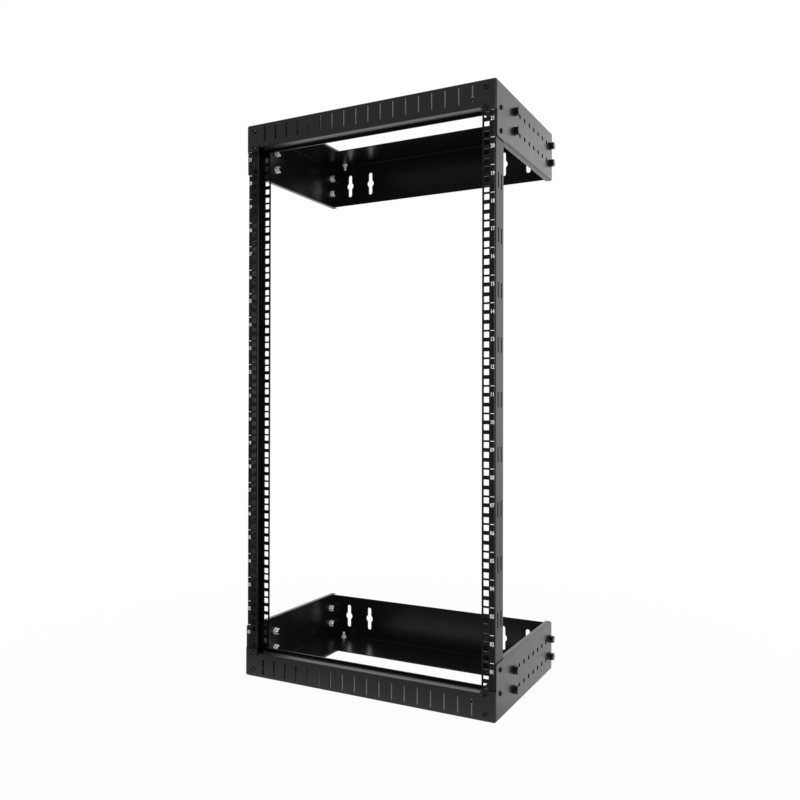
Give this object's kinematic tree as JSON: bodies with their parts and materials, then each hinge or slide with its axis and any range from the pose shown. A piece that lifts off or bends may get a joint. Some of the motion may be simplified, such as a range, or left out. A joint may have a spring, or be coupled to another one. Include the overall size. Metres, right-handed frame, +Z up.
{
  "type": "wall mount open frame rack",
  "caption": "Open frame rack that bolts to a wall and holds 19 inch equipment between two punched posts, with adjustable depth.",
  "frame": {"origin": "middle of the rack's footprint, on the underside of the bottom front frame", "axes": "+X to the rack's right seen from the front, +Y from the front rail to the wall, +Z up"},
  "size_m": [0.516, 0.3046, 1.0351],
  "materials": {
    "frame_paint": "satin black powder coat on sheet steel",
    "post_paint": "satin black powder coat on sheet steel",
    "bracket_paint": "satin black powder coat on sheet steel",
    "black_steel": "black oxide on steel screws and bolts",
    "zinc_plate": "bright zinc plate on steel nuts and studs"
  },
  "bodies": {
    "root": {"bottom_front_frame": "frame_paint", "top_front_frame": "frame_paint", "left_post": "post_paint", "right_post": "post_paint", "bottom_wall_bracket": "bracket_paint", "top_wall_bracket": "bracket_paint", "bottom_left_depth_bolts": "black_steel", "bottom_left_depth_nuts": "zinc_plate", "bottom_left_rail_screws": "black_steel", "bottom_left_side_screws": "black_steel", "bottom_right_depth_bolts": "black_steel", "bottom_right_depth_nuts": "zinc_plate", "bottom_right_rail_screws": "black_steel", "bottom_right_side_screws": "black_steel", "bottom_earth_stud": "zinc_plate", "bottom_earth_nut": "zinc_plate", "top_left_depth_bolts": "black_steel", "top_left_depth_nuts": "zinc_plate", "top_left_rail_screws": "black_steel", "top_left_side_screws": "black_steel", "top_right_depth_bolts": "black_steel", "top_right_depth_nuts": "zinc_plate", "top_right_rail_screws": "black_steel", "top_right_side_screws": "black_steel", "top_earth_stud": "zinc_plate", "top_earth_nut": "zinc_plate"}
  },
  "joints": []
}
